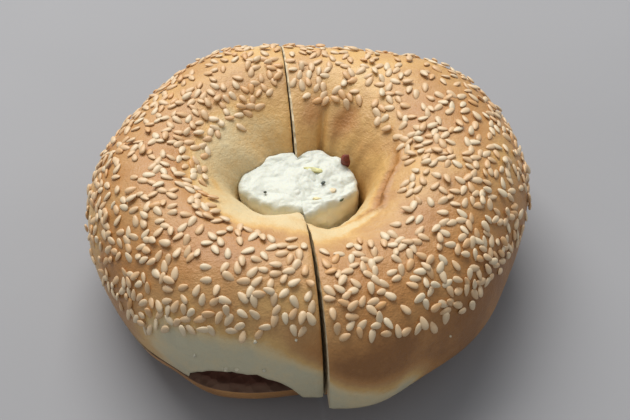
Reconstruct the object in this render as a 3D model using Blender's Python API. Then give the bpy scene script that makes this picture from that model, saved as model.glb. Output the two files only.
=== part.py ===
"""A sesame bagel, sliced level, spread with soft cheese and cut in two.

Sizes are in metres. +X runs across the knife cut, +Y along it to the back and +Z up.
The origin lies on the table, under the middle of the bagel's box.
"""

import math
import random

import bmesh
import bpy
from mathutils import Matrix, Vector
from mathutils.bvhtree import BVHTree

# The ring of dough. Plan angles start at +X and turn towards +Y, in degrees.
HALF_WIDTH = 0.0545
HALF_DEPTH = 0.0485
HEIGHT = 0.039
GIRTH_HEIGHT = 0.0170
THROAT_HEIGHT = 0.0190
BASE_SINK = 0.0014
RING_AT = Vector((-0.0003, 0.0029, 0.0))
HOLE_AT = (-0.0030, -0.0002)
HOLE_HALF_WIDTH = 0.0155
HOLE_HALF_DEPTH = 0.0112
CREST_SHARE = 0.50
CREST_INSIDE = 0.0063
CREST_LEAN = -0.0014

# How plump each quarter of the section is: 2 is an ellipse, more is squarer.
PLUMP_OUTSIDE = 2.15
PLUMP_FUNNEL = 1.7
PLUMP_LIP = 0.6
LIP_AT = -8.0
LIP_SPREAD = 62.0
PLUMP_BELOW = 2.1
PLUMP_UNDER_MOUTH = 0.5

# Lumps of the hand-rolled outline: where, how wide, how far out.
BULGES = (
    (31.0, 20.0, 0.0034),
    (63.0, 12.0, -0.0017),
    (83.0, 11.0, -0.0016),
    (118.0, 18.0, 0.0024),
    (150.0, 20.0, -0.0008),
    (232.0, 19.0, 0.0037),
    (258.0, 14.0, 0.0016),
    (277.0, 12.0, 0.0031),
    (335.0, 20.0, -0.0033),
)

# Where the wall of the hole stands in: where, how wide, how far out.
HOLE_BULGES = (
    (110.0, 26.0, -0.0068),
    (155.0, 22.0, -0.0075),
    (207.0, 20.0, -0.0027),
    (248.0, 22.0, -0.0051),
)

# Where the lower bread is tucked in under the upper: where, how wide, how far.
TUCKS = ((264.0, 13.0, 0.0023), (228.0, 7.0, 0.0013))

# Folds of the dough down the wall of the hole: where, how wide, how far in.
FOLDS = (
    (75.0, 3.6, -0.0019),
    (64.0, 6.0, 0.0011),
    (52.0, 5.0, -0.0015),
    (42.0, 5.5, 0.0010),
    (150.0, 22.0, 0.0008),
)
FOLD_SECTION_AT = 150.0
FOLD_SECTION_SPREAD = 34.0

# Slow swells of the crest, in turns round the ring.
SWELLS = ((2, 0.6, 0.0007), (3, 2.1, 0.0006), (5, 4.0, 0.0003))

# The level slice and the two halves.
GAP = 0.0003
SLICE_HEIGHT = 0.0126
MOUTH_AT = 246.5
MOUTH_RADIUS = 0.053
MOUTH_HALF_WIDTH = 0.0165
MOUTH_HALF_DEPTH = 0.0200
MOUTH_HEIGHT = 0.0088
MOUTH_SPREAD = 24.0
CUT_X = -0.0030
CUT_GAP = 0.0004
OPENING_DEGREES = 0.52
FRONT_SLIP = 0.0028
SLIP_START = 0.042
SLIP_END = -0.004

# The cheese: a layer between the halves and a plug that wells up in the hole.
LAYER_BELOW = 0.0008
LAYER_ABOVE = 0.0010
LAYER_MARGIN = 0.0110
LAYER_MOUTH_MARGIN = 0.0120
LAYER_MOUTH_SPREAD = 26.0
PLUG_AT = (-0.0023, -0.0022)
PLUG_HALF_WIDTH = 0.0160
PLUG_HALF_DEPTH = 0.0134
PLUG_BOTTOM = 0.0060
PLUG_TOP = 0.0288
PLUG_SQUARE = 0.45
PLUG_CLEARANCE = 0.0008
SLICE_CLEARANCE = 0.0025
PLUG_LUMPS = (
    (-0.0090, 0.0040, 0.0050, 0.0010),
    (0.0040, 0.0075, 0.0045, 0.0014),
    (0.0065, -0.0050, 0.0050, 0.0012),
    (-0.0020, -0.0020, 0.0050, -0.0012),
    (-0.0080, -0.0070, 0.0045, -0.0006),
)

# Sesame seeds, pressed into the upper crust.
SEED_LENGTH = 0.0034
SEED_WIDTH = 0.0021
SEED_THICKNESS = 0.0013
SEED_TAPER = 0.28
SEED_PROUD = 0.00022
SEED_SPACING = 0.0050
SEED_EDGE_CLEARANCE = 0.0027
SEEDS_A_SIDE = 82
SEED_TRIES = 9000
SEED_DRAW = 41
SEEDED_FROM = 12.0
SEEDED_FROM_FRONT = 16.0
SEEDED_TO = 126.0
SEEDED_TO_FRONT_RIGHT = -26.0

# Facets.
RING_TURNS = 60
RING_SECTION = 18
MOUTH_TURNS = 18
MOUTH_RINGS = 8
LAYER_SIDES = 40
PLUG_TURNS = 26
PLUG_RINGS = 14
SEED_TURNS = 5
SEED_RINGS = 4
CUTTER_REACH = 0.080
SMOOTH_ANGLE = math.radians(38)

SIDES = {"left": -1, "right": 1}


def bell(angle, at, spread):
    """1 where angle is at, in degrees, and fading to 0 over about spread each side."""
    away = (angle - at + 180.0) % 360.0 - 180.0
    return math.exp(-((away / spread) ** 2))


def ease(value, start, end):
    """0 before start, 1 past end, and smooth between."""
    share = min(1.0, max(0.0, (value - start) / (end - start)))
    return share * share * (3.0 - 2.0 * share)


def rounded(value, power):
    """A superellipse's coordinate from a cosine or a sine."""
    return math.copysign(abs(value) ** (2.0 / power), value)


def outer_radius(theta):
    """Plan radius of the ring's widest line."""
    across = math.cos(theta) / HALF_WIDTH
    along = math.sin(theta) / HALF_DEPTH
    angle = math.degrees(theta)
    lumps = sum(out * bell(angle, at, wide) for at, wide, out in BULGES)
    return 1.0 / math.hypot(across, along) + lumps


def hole_radius(theta):
    """Plan radius of the hole's throat, measured from the ring's middle."""
    across = math.cos(theta) / HOLE_HALF_WIDTH
    along = math.sin(theta) / HOLE_HALF_DEPTH
    shift = HOLE_AT[0] * math.cos(theta) + HOLE_AT[1] * math.sin(theta)
    angle = math.degrees(theta)
    lumps = sum(out * bell(angle, at, wide) for at, wide, out in HOLE_BULGES)
    return 1.0 / math.hypot(across, along) + shift + lumps


def crest_height(theta):
    return HEIGHT + sum(high * math.sin(turns * theta + start) for turns, start, high in SWELLS)


def tuck(theta):
    """How far the lower bread's outside is tucked in."""
    return sum(inward * bell(math.degrees(theta), at, wide) for at, wide, inward in TUCKS)


def ring_point(theta, phi, tucked=0.0):
    """A point of the crust: theta is the plan angle, phi goes round the section.

    phi is 0 on the widest line, 90 degrees on the crest and 180 in the throat.
    """
    angle = math.degrees(theta)
    outside, inside = outer_radius(theta) - tucked, hole_radius(theta)
    crest = CREST_SHARE * outside + CREST_INSIDE + CREST_LEAN * math.cos(theta)
    across, up = math.cos(phi), math.sin(phi)
    if up < 0.0:
        power = PLUMP_BELOW
        if across > 0.0:
            power += PLUMP_UNDER_MOUTH * bell(angle, MOUTH_AT, MOUTH_SPREAD)
    elif across >= 0.0:
        power = PLUMP_OUTSIDE
    else:
        power = PLUMP_FUNNEL + PLUMP_LIP * bell(angle, LIP_AT, LIP_SPREAD)
    reach = outside - crest if across >= 0.0 else crest - inside
    radius = crest + reach * rounded(across, power)
    folds = sum(inward * bell(angle, at, wide) for at, wide, inward in FOLDS)
    radius -= folds * bell(math.degrees(phi), FOLD_SECTION_AT, FOLD_SECTION_SPREAD)
    middle = THROAT_HEIGHT + (GIRTH_HEIGHT - THROAT_HEIGHT) * (1.0 + across) / 2.0
    if up >= 0.0:
        height = middle + (crest_height(theta) - middle) * rounded(up, power)
    else:
        height = max(0.0, middle + (middle + BASE_SINK) * rounded(up, power))
    return Vector((radius * math.cos(theta), radius * math.sin(theta), height))


def slipped(point):
    """The upper right piece has slid towards the front, most at its front end."""
    share = 1.0 - ease(point.y, SLIP_END, SLIP_START)
    return point - Vector((0.0, FRONT_SLIP * share, 0.0))


def new_object(name, mesh, collection):
    obj = bpy.data.objects.new(name, mesh)
    collection.objects.link(obj)
    return obj


def mesh_from(bm, name):
    mesh = bpy.data.meshes.new(name)
    bmesh.ops.recalc_face_normals(bm, faces=bm.faces)
    bm.to_mesh(mesh)
    bm.free()
    return mesh


def ring(name, collection, level, slips):
    """The whole ring: a torus whose points are moved onto the dough's skin."""
    bpy.ops.mesh.primitive_torus_add(
        major_segments=RING_TURNS, minor_segments=RING_SECTION, major_radius=1.0, minor_radius=0.4
    )
    torus = bpy.context.object
    bm = bmesh.new()
    bm.from_mesh(torus.data)
    spare = torus.data
    bpy.data.objects.remove(torus)
    bpy.data.meshes.remove(spare)
    for vertex in bm.verts:
        theta = math.atan2(vertex.co.y, vertex.co.x)
        phi = math.atan2(vertex.co.z, math.hypot(vertex.co.x, vertex.co.y) - 1.0)
        vertex.co = ring_point(theta, phi % math.tau, tuck(theta) if level == "bottom" else 0.0)
        if slips:
            vertex.co = slipped(vertex.co)
    return new_object(name, mesh_from(bm, name), collection)


def combine(target, operation, cutter=None, collection=None, solver="EXACT"):
    """Applies one Boolean to target, and removes what it was combined with."""
    modifier = target.modifiers.new("combine", "BOOLEAN")
    modifier.operation = operation
    modifier.solver = solver
    if collection is not None:
        modifier.operand_type = "COLLECTION"
        modifier.collection = collection
    else:
        modifier.object = cutter
    bpy.context.view_layer.update()
    graph = bpy.context.evaluated_depsgraph_get()
    made = bpy.data.meshes.new_from_object(target.evaluated_get(graph))
    target.modifiers.clear()
    spare = target.data
    target.data = made
    bpy.data.meshes.remove(spare)
    used = list(collection.objects) if collection is not None else [cutter]
    for obj in used:
        bpy.data.objects.remove(obj)


def knife_block(side, collection):
    """A block over everything on the far side of the knife cut."""
    bm = bmesh.new()
    bmesh.ops.create_cube(bm, size=2 * CUTTER_REACH)
    shift = CUT_X - SIDES[side] * (CUTTER_REACH - CUT_GAP / 2)
    bmesh.ops.translate(bm, verts=bm.verts, vec=Vector((shift, 0.0, 0.0)))
    block = new_object("knife_block", mesh_from(bm, "knife_block"), collection)
    block.hide_render = True
    block.display_type = "WIRE"
    return block


def slice_block(level, collection):
    """A block under the upper halves' cut face, or over the lower halves' one."""
    up = 1 if level == "top" else -1
    bm = bmesh.new()
    bmesh.ops.create_cube(bm, size=2 * CUTTER_REACH)
    height = SLICE_HEIGHT + up * (GAP / 2 - CUTTER_REACH)
    bmesh.ops.translate(bm, verts=bm.verts, vec=Vector((0.0, 0.0, height)))
    block = new_object("slice_block", mesh_from(bm, "slice_block"), collection)
    block.hide_render = True
    block.display_type = "WIRE"
    return block


def mouth(collection):
    """A flattened ball that lifts the upper left piece's lower edge at the front."""
    bm = bmesh.new()
    bmesh.ops.create_uvsphere(
        bm, u_segments=MOUTH_TURNS, v_segments=MOUTH_RINGS, radius=1.0
    )
    bmesh.ops.scale(bm, verts=bm.verts, vec=(MOUTH_HALF_DEPTH, MOUTH_HALF_WIDTH, MOUTH_HEIGHT))
    turn = Matrix.Rotation(math.radians(MOUTH_AT), 3, "Z")
    bmesh.ops.translate(bm, verts=bm.verts, vec=(MOUTH_RADIUS, 0.0, SLICE_HEIGHT))
    bmesh.ops.rotate(bm, verts=bm.verts, matrix=turn)
    ball = new_object("mouth", mesh_from(bm, "mouth"), collection)
    ball.hide_render = True
    ball.display_type = "WIRE"
    return ball


def cheese_layer(collection, grow=0.0):
    """The layer between the halves: a drum whose side follows the crust at a margin."""
    thickness = LAYER_BELOW + LAYER_ABOVE + 2 * grow
    bm = bmesh.new()
    bmesh.ops.create_cone(
        bm, cap_ends=True, segments=LAYER_SIDES, radius1=1.0, radius2=1.0, depth=thickness
    )
    for vertex in bm.verts:
        theta = math.atan2(vertex.co.y, vertex.co.x)
        mouth = LAYER_MOUTH_MARGIN * bell(math.degrees(theta), MOUTH_AT, LAYER_MOUTH_SPREAD)
        radius = outer_radius(theta) - LAYER_MARGIN - mouth + grow
        vertex.co.x = radius * math.cos(theta)
        vertex.co.y = radius * math.sin(theta)
        vertex.co.z += SLICE_HEIGHT + (LAYER_ABOVE - LAYER_BELOW) / 2
    return new_object("cheese_layer", mesh_from(bm, "cheese_layer"), collection)


def wall_radius(theta, height):
    """Plan radius of the hole's wall at a height."""
    above, below = math.radians(92), math.radians(262)
    for _ in range(24):
        phi = (above + below) / 2
        if ring_point(theta, phi).z > height:
            above = phi
        else:
            below = phi
    return ring_point(theta, below).xy.length


def plug(collection, slips):
    """The cheese that wells up in the hole: a ball squared up and held by the wall.

    The right one follows the upper bread's slip above the slice, and near the slice it
    keeps clear of both breads.
    """
    bm = bmesh.new()
    bmesh.ops.create_uvsphere(bm, u_segments=PLUG_TURNS, v_segments=PLUG_RINGS, radius=1.0)
    middle = (PLUG_TOP + PLUG_BOTTOM) / 2
    tall = (PLUG_TOP - PLUG_BOTTOM) / 2
    for vertex in bm.verts:
        theta = math.atan2(vertex.co.y, vertex.co.x)
        wide = math.hypot(vertex.co.x, vertex.co.y) ** PLUG_SQUARE
        lift = math.copysign(abs(vertex.co.z) ** 0.75, vertex.co.z)
        x = PLUG_AT[0] + PLUG_HALF_WIDTH * wide * math.cos(theta)
        y = PLUG_AT[1] + PLUG_HALF_DEPTH * wide * math.sin(theta)
        lumps = sum(
            high * math.exp(-(((x - at_x) ** 2 + (y - at_y) ** 2) / spread**2))
            for at_x, at_y, spread, high in PLUG_LUMPS
        )
        height = middle + tall * lift
        turn = math.atan2(y, x)
        room = wall_radius(turn, height) - PLUG_CLEARANCE
        beside_slice = abs(height - SLICE_HEIGHT) < SLICE_CLEARANCE
        if slips and beside_slice:
            room -= 1.3 * FRONT_SLIP * abs(math.sin(turn))
        held = min(1.0, room / math.hypot(x, y))
        vertex.co = Vector((x * held, y * held, height + lumps * max(0.0, lift)))
        if slips and height > SLICE_HEIGHT and not beside_slice:
            vertex.co = slipped(vertex.co)
    return new_object("plug", mesh_from(bm, "plug"), collection)


def bread(name, side, level, collection):
    """A quarter of the bagel: one side of the knife cut, above or below the slice."""
    slips = side == "right" and level == "top"
    piece = ring(name, collection, level, slips)
    combine(piece, "DIFFERENCE", slice_block(level, collection))
    combine(piece, "DIFFERENCE", knife_block(side, collection))
    combine(piece, "DIFFERENCE", cheese_layer(collection, GAP))
    if side == "left" and level == "top":
        combine(piece, "DIFFERENCE", mouth(collection))
    return piece


def cheese(name, side, collection):
    """The cheese on one side of the knife cut: plug and layer in one."""
    piece = plug(collection, side == "right")
    piece.name = name
    combine(piece, "UNION", cheese_layer(collection))
    combine(piece, "DIFFERENCE", knife_block(side, collection))
    return piece


def skin_frame(theta, phi, slips):
    """A point of the crust with its outward normal."""
    step = 0.01
    point = ring_point(theta, phi)
    along = ring_point(theta + step, phi) - ring_point(theta - step, phi)
    round_section = ring_point(theta, phi + step) - ring_point(theta, phi - step)
    normal = along.cross(round_section).normalized()
    return (slipped(point) if slips else point), normal


def seed_places(top, side, draw):
    """Evenly spread places for the seeds on one side: point and normal for each."""
    facets = BVHTree.FromPolygons(
        [vertex.co for vertex in top.data.vertices], [face.vertices for face in top.data.polygons]
    )
    places = []
    for _ in range(SEED_TRIES):
        if len(places) == SEEDS_A_SIDE:
            break
        theta = draw.uniform(0.0, math.tau)
        front = bell(math.degrees(theta), 270.0, 60.0)
        low = SEEDED_FROM + SEEDED_FROM_FRONT * front
        high = SEEDED_TO + SEEDED_TO_FRONT_RIGHT * bell(math.degrees(theta), 290.0, 28.0)
        wanted, outward = skin_frame(theta, math.radians(draw.uniform(low, high)), side == "right")
        point, normal = facets.find_nearest(wanted)[:2]
        clear = (wanted.x - CUT_X) * SIDES[side] > SEED_EDGE_CLEARANCE
        spread = all((point - other).length > SEED_SPACING for other, _ in places)
        if clear and spread and normal.dot(outward) > 0.5:
            places.append((point, (normal + outward).normalized()))
    return places


def seed(number, point, normal, turn, collection):
    """One seed: a small ball stretched, pointed at one end and laid on the crust."""
    bm = bmesh.new()
    bmesh.ops.create_uvsphere(bm, u_segments=SEED_TURNS, v_segments=SEED_RINGS, radius=0.5)
    bmesh.ops.rotate(bm, verts=bm.verts, matrix=Matrix.Rotation(math.pi / 2, 3, "Y"))
    for vertex in bm.verts:
        vertex.co.y *= 1.0 - SEED_TAPER * 2.0 * vertex.co.x
    bmesh.ops.scale(bm, verts=bm.verts, vec=(SEED_LENGTH, SEED_WIDTH, SEED_THICKNESS))
    lie = normal.to_track_quat("Z", "X").to_matrix() @ Matrix.Rotation(turn, 3, "Z")
    bmesh.ops.rotate(bm, verts=bm.verts, matrix=lie)
    bmesh.ops.translate(bm, verts=bm.verts, vec=point + normal * SEED_PROUD)
    name = f"seed_{number}"
    return new_object(name, mesh_from(bm, name), collection)


def press_in_seeds(top, side):
    """Joins the seeds on one side to the upper piece that they lie on."""
    draw = random.Random(SEED_DRAW + SIDES[side])
    seeds = bpy.data.collections.new("seeds_" + side)
    bpy.context.scene.collection.children.link(seeds)
    for number, (point, normal) in enumerate(seed_places(top, side, draw)):
        seed(number, point, normal, draw.uniform(0.0, math.tau), seeds)
    combine(top, "UNION", collection=seeds)
    bpy.data.collections.remove(seeds)


def put_in_frame(piece, side):
    """Opens the right side's front a little, then moves the piece to the frame's origin."""
    place = Matrix.Translation(RING_AT)
    if side == "right":
        hinge = Vector((CUT_X, HALF_DEPTH, 0.0))
        turn = Matrix.Rotation(math.radians(OPENING_DEGREES), 4, "Z")
        place = place @ Matrix.Translation(hinge) @ turn @ Matrix.Translation(-hinge)
    piece.data.transform(place)


def material(name, colour, roughness):
    made = bpy.data.materials.new(name)
    made.use_nodes = True
    shader = made.node_tree.nodes["Principled BSDF"]
    shader.inputs["Base Color"].default_value = (*colour, 1.0)
    shader.inputs["Roughness"].default_value = roughness
    shader.inputs["Metallic"].default_value = 0.0
    return made


def finish(piece, skin):
    piece.data.materials.clear()
    piece.data.materials.append(skin)
    piece.data.shade_smooth()
    piece.data.set_sharp_from_angle(angle=SMOOTH_ANGLE)


def clear_scene():
    for obj in list(bpy.data.objects):
        bpy.data.objects.remove(obj)


def main():
    clear_scene()
    bagel = bpy.data.collections.new("bagel")
    bpy.context.scene.collection.children.link(bagel)
    upper_crust = material("upper_crust", (0.56, 0.31, 0.14), 0.45)
    lower_crust = material("lower_crust", (0.42, 0.24, 0.10), 0.55)
    soft_cheese = material("soft_cheese", (0.88, 0.86, 0.76), 0.50)
    for side in SIDES:
        top = bread("top_" + side, side, "top", bagel)
        press_in_seeds(top, side)
        bottom = bread("bottom_" + side, side, "bottom", bagel)
        filling = cheese("cheese_" + side, side, bagel)
        for piece, skin in ((top, upper_crust), (bottom, lower_crust), (filling, soft_cheese)):
            put_in_frame(piece, side)
            finish(piece, skin)


main()
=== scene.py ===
"""A sesame bagel with soft cheese, sliced level and cut in two.

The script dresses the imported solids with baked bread, seeds and cheese. It is laid out as
an add-on with one operator for each piece, and is run as a script.
"""

import math
import random
from functools import lru_cache

import bmesh
import bpy
from bpy.props import FloatProperty, FloatVectorProperty, IntProperty, PointerProperty
from mathutils import Matrix, Vector, noise


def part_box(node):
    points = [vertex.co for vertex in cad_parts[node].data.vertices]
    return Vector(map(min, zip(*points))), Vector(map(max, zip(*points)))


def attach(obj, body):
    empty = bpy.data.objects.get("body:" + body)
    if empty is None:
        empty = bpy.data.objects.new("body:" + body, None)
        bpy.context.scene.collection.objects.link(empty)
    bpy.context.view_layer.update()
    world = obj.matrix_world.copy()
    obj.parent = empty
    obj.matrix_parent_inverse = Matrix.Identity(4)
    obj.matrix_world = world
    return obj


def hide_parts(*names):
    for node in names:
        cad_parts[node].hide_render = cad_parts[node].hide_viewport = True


bl_info = {
    "name": "Sesame bagel",
    "version": (1, 0, 0),
    "blender": (4, 5, 0),
    "location": "3D View > Sidebar > Bagel",
    "description": "Builds the bread, seeds, cheese and crumbs of a filled bagel",
    "category": "Add Mesh",
}

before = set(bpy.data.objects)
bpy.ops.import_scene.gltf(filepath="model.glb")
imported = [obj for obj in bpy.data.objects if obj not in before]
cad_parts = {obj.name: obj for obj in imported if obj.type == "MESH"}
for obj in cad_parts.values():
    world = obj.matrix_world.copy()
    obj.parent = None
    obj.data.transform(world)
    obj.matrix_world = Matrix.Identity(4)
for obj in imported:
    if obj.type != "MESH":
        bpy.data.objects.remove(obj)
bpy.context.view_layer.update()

# The slice's place comes from the solids.
SLICE_HEIGHT = (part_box("bottom_left")[1].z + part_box("top_left")[0].z) / 2
GAP = 0.0003

# The ring of dough, as in the solids. Plan angles start at +X and turn towards +Y.
HALF_WIDTH = 0.0545
HALF_DEPTH = 0.0485
HEIGHT = 0.039
GIRTH_HEIGHT = 0.0170
THROAT_HEIGHT = 0.0190
BASE_SINK = 0.0014
RING_AT = Vector((-0.0003, 0.0029, 0.0))
HOLE_AT = (-0.0030, -0.0002)
HOLE_HALF_WIDTH = 0.0155
HOLE_HALF_DEPTH = 0.0112
CREST_SHARE = 0.50
CREST_INSIDE = 0.0063
CREST_LEAN = -0.0014
PLUMP_OUTSIDE = 2.15
PLUMP_FUNNEL = 1.7
PLUMP_LIP = 0.6
LIP_AT = -8.0
LIP_SPREAD = 62.0
PLUMP_BELOW = 2.1
PLUMP_UNDER_MOUTH = 0.5
BULGES = (
    (31.0, 20.0, 0.0034), (63.0, 12.0, -0.0017), (83.0, 11.0, -0.0016),
    (118.0, 18.0, 0.0024), (150.0, 20.0, -0.0008), (232.0, 19.0, 0.0037),
    (258.0, 14.0, 0.0016), (277.0, 12.0, 0.0031), (335.0, 20.0, -0.0033),
)
HOLE_BULGES = (
    (110.0, 26.0, -0.0068),
    (155.0, 22.0, -0.0075),
    (207.0, 20.0, -0.0027),
    (248.0, 22.0, -0.0051),
)
TUCKS = ((264.0, 13.0, 0.0023), (228.0, 7.0, 0.0013))
# Folds in the hole's wall: plan angle, spread, depth inwards, section angle, spread.
FOLDS = (
    (74.0, 3.2, -0.0021, 150.0, 34.0),
    (64.0, 6.0, 0.0003, 146.0, 26.0),
    (54.0, 6.5, -0.0012, 128.0, 10.0),
    (42.0, 5.5, 0.0005, 138.0, 20.0),
    (150.0, 22.0, 0.0008, 150.0, 34.0),
)
SWELLS = ((2, 0.6, 0.0007), (3, 2.1, 0.0006), (5, 4.0, 0.0003))

# The mouth at the front left and the knife cut, as in the solids.
MOUTH_AT = 246.5
MOUTH_RADIUS = 0.053
MOUTH_HALF_WIDTH = 0.0165
MOUTH_LEFT_WIDTH = 0.0128
MOUTH_HALF_DEPTH = 0.0200
MOUTH_HEIGHT = 0.0088
MOUTH_SPREAD = 24.0
TEARS = ((22.0, 3.0, 0.0008), (95.0, 5.0, 0.0004))
CUT_X = -0.0030
CUT_GAP = 0.0004
OPENING_DEGREES = 0.52
FRONT_SLIP = 0.0028
SLIP_START = 0.042
SLIP_END = -0.004
SIDES = {"left": -1, "right": 1}

# The fine ridge at the right side of the hole, and the edge of the baked skin there, as
# plan angles and section angles.
RIDGE_LINE = (
    (262.0, 137.0), (290.0, 133.0), (302.0, 128.0), (314.0, 121.5),
    (327.0, 127.0), (342.0, 128.0), (358.0, 123.0), (384.0, 119.0),
)
SKIN_EDGE = (
    (262.0, 104.0), (276.0, 111.0), (290.0, 117.0), (312.0, 118.0),
    (322.0, 123.0), (342.0, 127.0), (358.0, 122.0), (384.0, 104.0),
)
RIDGE_AT = -38.0
RIDGE_SPREAD = 36.0
RIDGE_SECTION_SPREAD = 2.8
RIDGE_WANDER = 3.0
RIDGE_HEIGHT = 0.0010
RIDGE_HOLLOW = 0.0011
RIDGE_HOLLOW_AFTER = 5.0
RIDGE_HOLLOW_SPREAD = 5.8
SKIN_SHARPNESS = 4.0
CREASE_HEIGHT = 0.0003

# How hard the crust is baked, from 0 for floury to 1 for brown. In the hole: plan angle,
# spread, how much more. Spots in it: plan angle, spread, section angle, spread, how much.
# On the crust: plan angle, spread, the section angles between which it fades, how much; the last
# row, paler at the back, is painted sheen.
WALL_TONE = 0.25
WALL_TONES = ((12.0, 60.0, 0.17), (92.0, 42.0, 0.21), (243.0, 32.0, -0.04), (288.0, 20.0, -0.10))
WALL_SPOTS = (
    (57.0, 9.0, 132.0, 10.0, 0.42),
    (83.0, 7.0, 127.0, 9.0, 0.26),
    (190.0, 6.0, 133.0, 5.0, 0.18),
)
LEAST_WALL_TONE = 0.21
CRUST_TONE = 0.60
CRUST_TONES = (
    (320.0, 46.0, 25.0, 50.0, 0.12),
    (305.0, 34.0, 80.0, 108.0, 0.16),
    (190.0, 36.0, 280.0, 290.0, 0.09),
    # Painted sheen: the crust paler towards the back.
    (90.0, 52.0, 280.0, 290.0, -0.17),
)
BASE_TONE = 0.84
RIDGE_TONE = 0.26
HOLLOW_TONE = 0.66
BROWN_TONE = 0.98
FLOURY_TONE = 0.02

# How the upper bread's lower rim is drawn in at the front left.
RIM_CURL = 0.0014
RIM_CURL_AT = 228.0
RIM_CURL_SPREAD = 9.0
RIM_CURL_TOP = 0.0215

# The edges of the knife cut: rounded over, and torn on the right side of the hole.
KNIFE_GAP = 0.0001
TORN_WIDTH = 0.0004
EDGE_WIDTH = 0.0011
EDGE_DROP = 0.00028

# Facets of the bread.
RING_TURNS = 300
CRUST_STEPS = 120
CUT_STEPS = 16
SPUN_RADIUS = 0.3
LIP_ANGLES = (108.0, 144.0)
LIP_SHARES = (0.0, 0.47, 0.77, 1.0)
BREAD_LAYERS = ("browning_and_sheen", "crumb", "gap_shade")
# Painted shade on the cut bread in the gap at the front: its share at the rim, and the depths behind
# the rim over which it grows to the whole.
RIM_SHADE = 0.85
RIM_DEPTHS = (0.0010, 0.0030)

# The cheese, as in the solids.
LAYER_BELOW = 0.0008
LAYER_ABOVE = 0.0010
LAYER_MARGIN = 0.0110
LAYER_MOUTH_MARGIN = 0.0120
LAYER_MOUTH_SPREAD = 26.0
PLUG_AT = Vector((-0.0028, -0.0022, 0.0))


def metres(name, description, default):
    """A property for a size in metres."""
    return FloatProperty(name=name, description=description, default=default, unit="LENGTH")


def tint(name, description, default):
    """A property for a colour."""
    return FloatVectorProperty(name=name, description=description, default=default, subtype="COLOR")


class BagelDough(bpy.types.PropertyGroup):
    """The bread's own sizes and colours."""

    lump_height: metres("Lump height", "How far the slow lumps of the crust stand out", 0.00035)
    grain_height: metres("Grain height", "How far the fine blisters of the crust stand out", 0.00009)
    pale: tint("Pale crust", "Colour of the crust that the oven hardly reached", (0.71, 0.56, 0.31))
    floury: tint("Floury crust", "Colour of the matt band low on the front", (0.58, 0.53, 0.36))
    tanned: tint("Tanned crust", "Colour of the hole's wall where it is tanned", (0.68, 0.42, 0.15))
    golden: tint("Golden crust", "Colour of most of the upper crust", (0.52, 0.28, 0.100))
    amber: tint("Amber crust", "Colour of thin skin that caught the most heat", (0.46, 0.215, 0.062))
    brown: tint("Brown crust", "Colour of the crust where it is baked hardest", (0.29, 0.122, 0.030))
    # Painted shade: this dark colour stands in for the shade on the cut bread deep in the gap at the
    # front.
    gap_shade: tint("Gap", "Colour of the bread deep in the gap at the front", (0.19, 0.075, 0.045))
    crumb: tint("Crumb", "Colour of the cut bread inside", (0.70, 0.58, 0.38))


class BagelSeeds(bpy.types.PropertyGroup):
    """The sesame seeds."""

    length: metres("Length", "Length of a seed", 0.0029)
    width: metres("Width", "Width of a seed", 0.00162)
    thickness: metres("Thickness", "Thickness of a seed", 0.00076)
    spacing: metres("Spacing", "Least distance between the middles of two seeds", 0.00158)
    count: IntProperty(
        name="Count", description="Most seeds on one side of the knife cut", default=620
    )
    pale: tint("Pale seed", "Colour of a seed that stayed white", (0.75, 0.61, 0.41))
    toasted: tint("Toasted seed", "Colour of a well toasted seed", (0.65, 0.36, 0.145))


class BagelCheese(bpy.types.PropertyGroup):
    """The soft cheese and what is mixed into it."""

    white: tint("White", "Colour of the cheese on top", (0.65, 0.675, 0.595))
    # Painted bounce light: the sides' cream colour stands in for light thrown onto them by the
    # bread.
    side_bounce: tint("Cream", "Colour of the cheese's sides, stained by the bread", (0.95, 0.91, 0.73))
    lump_height: metres("Lump height", "How far the curds stand out", 0.0009)


class BagelStage(bpy.types.PropertyGroup):
    """Floor, lights and camera."""

    floor: tint("Floor", "Colour of the floor", (0.31, 0.31, 0.32))
    key_power: FloatProperty(
        name="Key power", description="Power of the big soft light behind", default=14.0
    )
    sky: FloatProperty(
        name="Sky", description="Strength of the even light all round", default=0.38
    )
    lens: FloatProperty(
        name="Lens",
        description="Focal length on a 36 mm sensor",
        default=52.57,
        unit="CAMERA",
    )
    distance: metres("Distance", "Camera's distance from the bagel's middle", 0.230)
    elevation: FloatProperty(
        name="Elevation",
        description="Camera's angle above the table",
        default=math.radians(50.0),
        subtype="ANGLE",
    )
    azimuth: FloatProperty(
        name="Azimuth",
        description="Camera's turn to the left of straight ahead",
        default=math.radians(-6.83),
        subtype="ANGLE",
    )


# Shape of the dough


def bell(angle, at, spread):
    """1 where angle is at, in degrees, and fading to 0 over about spread each side."""
    away = (angle - at + 180.0) % 360.0 - 180.0
    return math.exp(-((away / spread) ** 2))


def ease(value, start, end):
    """0 before start, 1 past end, and smooth between."""
    share = min(1.0, max(0.0, (value - start) / (end - start)))
    return share * share * (3.0 - 2.0 * share)


def mix(first, second, share):
    return first + (second - first) * share


def rounded(value, power):
    """A superellipse's coordinate from a cosine or a sine."""
    return math.copysign(abs(value) ** (2.0 / power), value)


def lumps(places, angle):
    """What the places in a table add at a plan angle: each is (angle, spread, how much)."""
    return sum(much * bell(angle, at, wide) for at, wide, much in places)


@lru_cache(maxsize=4096)
def outer_radius(theta):
    """Plan radius of the ring's widest line."""
    across = math.cos(theta) / HALF_WIDTH
    along = math.sin(theta) / HALF_DEPTH
    return 1.0 / math.hypot(across, along) + lumps(BULGES, math.degrees(theta))


@lru_cache(maxsize=4096)
def hole_radius(theta):
    """Plan radius of the hole's throat, measured from the ring's middle."""
    across = math.cos(theta) / HOLE_HALF_WIDTH
    along = math.sin(theta) / HOLE_HALF_DEPTH
    shift = HOLE_AT[0] * math.cos(theta) + HOLE_AT[1] * math.sin(theta)
    return 1.0 / math.hypot(across, along) + shift + lumps(HOLE_BULGES, math.degrees(theta))


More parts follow.
